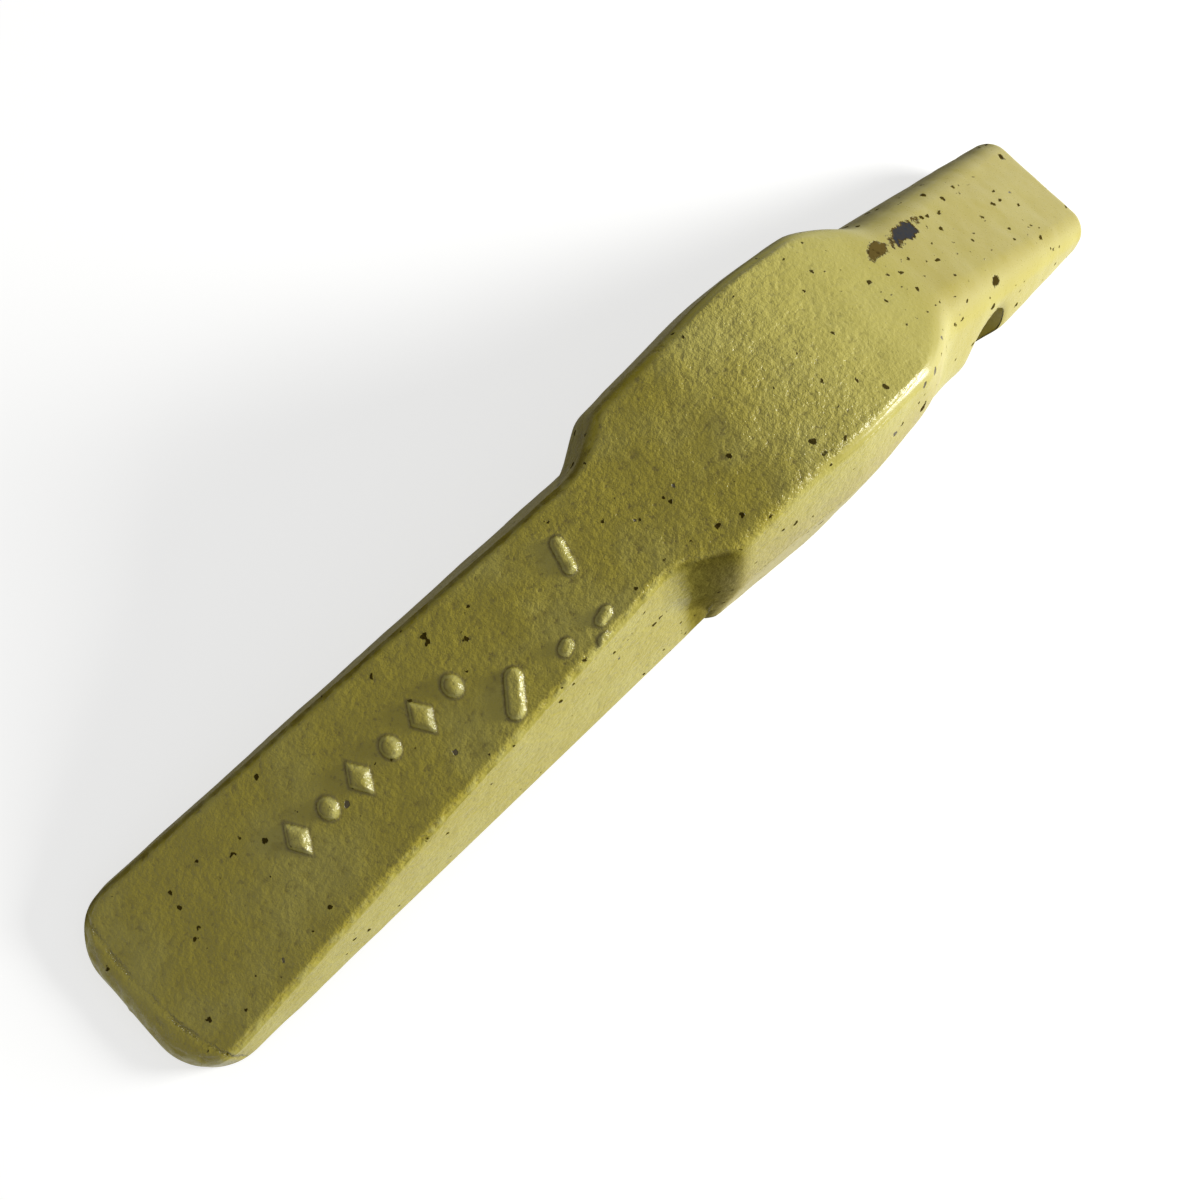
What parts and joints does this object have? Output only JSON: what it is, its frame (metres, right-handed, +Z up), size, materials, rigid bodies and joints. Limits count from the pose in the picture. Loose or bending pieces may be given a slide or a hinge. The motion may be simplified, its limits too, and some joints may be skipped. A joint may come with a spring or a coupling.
{
  "type": "bucket tooth adapter",
  "caption": "Weld-on bucket tooth adapter: a long tapered strap, a broad body that seats against the bucket lip, and a wedge nose with a cross pin hole and a retainer pocket.",
  "frame": {"origin": "middle of the bounding box at its bottom, on the floor the casting rests on", "axes": "+X towards the tooth end of the nose, +Z up as the casting rests, +Y across"},
  "size_m": [0.3504, 0.064, 0.072],
  "materials": {
    "painted_steel": "semi-gloss olive yellow enamel over a cast steel skin"
  },
  "bodies": {
    "root": {"adapter_casting": "painted_steel"}
  },
  "joints": []
}
